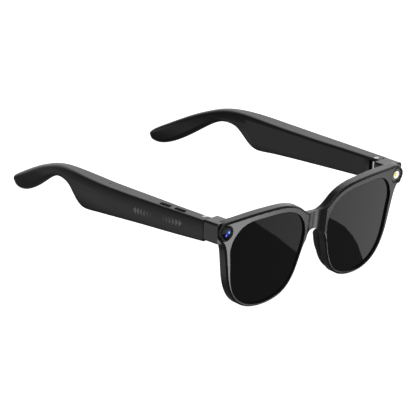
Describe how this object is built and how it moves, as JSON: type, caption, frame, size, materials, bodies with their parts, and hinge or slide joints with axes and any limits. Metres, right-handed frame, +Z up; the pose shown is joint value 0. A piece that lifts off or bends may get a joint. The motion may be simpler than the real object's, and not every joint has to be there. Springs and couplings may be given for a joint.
{
  "type": "smart glasses",
  "caption": "Black full-rim smart glasses with a camera and a light on the front, and thick folding temples with buttons that hold the electronics.",
  "frame": {"origin": "on the table under the centre of the open glasses' bounding box", "axes": "+X towards the wearer's left, +Y from the front back to the temple tips, +Z up from the table that the open glasses stand on, with rims and both temple tips at z = 0"},
  "size_m": [0.146, 0.1657, 0.0547],
  "materials": {
    "frame_black": "glossy black injection moulded frame",
    "temple_black": "fine satin black",
    "cover_black": "fine satin black",
    "tinted_lens": "dark grey polarised lens",
    "soft_black": "soft black silicone",
    "bezel_black": "gloss black ring",
    "clear_window": "clear window",
    "coated_glass": "camera glass with blue coating",
    "white_plastic": "white reflector",
    "phosphor": "yellow phosphor",
    "steel": "bright steel",
    "board_green": "circuit board",
    "flex_amber": "polyimide ribbon",
    "cell_silver": "foil pouch",
    "mesh_black": "fine black woven screen",
    "gold": "gilt contact"
  },
  "bodies": {
    "front": {"front_frame": "frame_black", "brow_cover": "frame_black", "front_flex_cable": "flex_amber", "camera_bezel": "bezel_black", "camera_window": "clear_window", "camera_barrel": "bezel_black", "camera_lens": "coated_glass", "camera_board": "board_green", "light_bezel": "bezel_black", "light_window": "clear_window", "light_reflector": "white_plastic", "light_emitter": "phosphor", "light_board": "board_green", "lens_left": "tinted_lens", "lens_right": "tinted_lens", "nose_pad_left": "soft_black", "nose_pad_right": "soft_black", "end_cover_left": "frame_black", "end_cover_right": "frame_black", "hinge_front_leaf_left": "steel", "hinge_front_leaf_right": "steel"},
    "temple_left": {"temple_shell_left": "temple_black", "temple_cover_left": "cover_black", "hinge_temple_leaf_left": "steel", "hinge_pin_left": "steel", "hinge_screws_left": "steel", "battery_left": "cell_silver", "speaker_left": "bezel_black", "speaker_mesh_left": "mesh_black", "microphone_left": "steel", "side_board_left": "board_green"},
    "temple_right": {"temple_shell_right": "temple_black", "temple_cover_right": "cover_black", "hinge_temple_leaf_right": "steel", "hinge_pin_right": "steel", "hinge_screws_right": "steel", "battery_right": "cell_silver", "speaker_right": "bezel_black", "speaker_mesh_right": "mesh_black", "microphone_right": "steel", "main_board_right": "board_green", "button_switches": "steel", "charge_contacts": "gold", "charge_magnets": "steel"},
    "front_button": {"button_front": "temple_black"},
    "rear_button": {"button_rear": "temple_black"}
  },
  "joints": [
    {"name": "hinge_left", "type": "hinge", "parent": "front", "child": "temple_left", "pos_m": [0.0675, -0.06062, 0.04469], "axis": [-0.0175, 0.1726, 0.9848], "range_deg": [0, 60]},
    {"name": "hinge_right", "type": "hinge", "parent": "front", "child": "temple_right", "pos_m": [-0.0675, -0.06062, 0.04469], "axis": [-0.0175, -0.1726, -0.9848], "range_deg": [0, 87]},
    {"name": "press_front_button", "type": "slide", "parent": "temple_right", "child": "front_button", "axis": [0, -0.1726, -0.985], "range_m": [0, 0.00035], "stiffness_N_per_m": 1200, "springref_m": -0.0004},
    {"name": "press_rear_button", "type": "slide", "parent": "temple_right", "child": "rear_button", "axis": [0, -0.1726, -0.985], "range_m": [0, 0.00035], "stiffness_N_per_m": 1200, "springref_m": -0.0004}
  ]
}
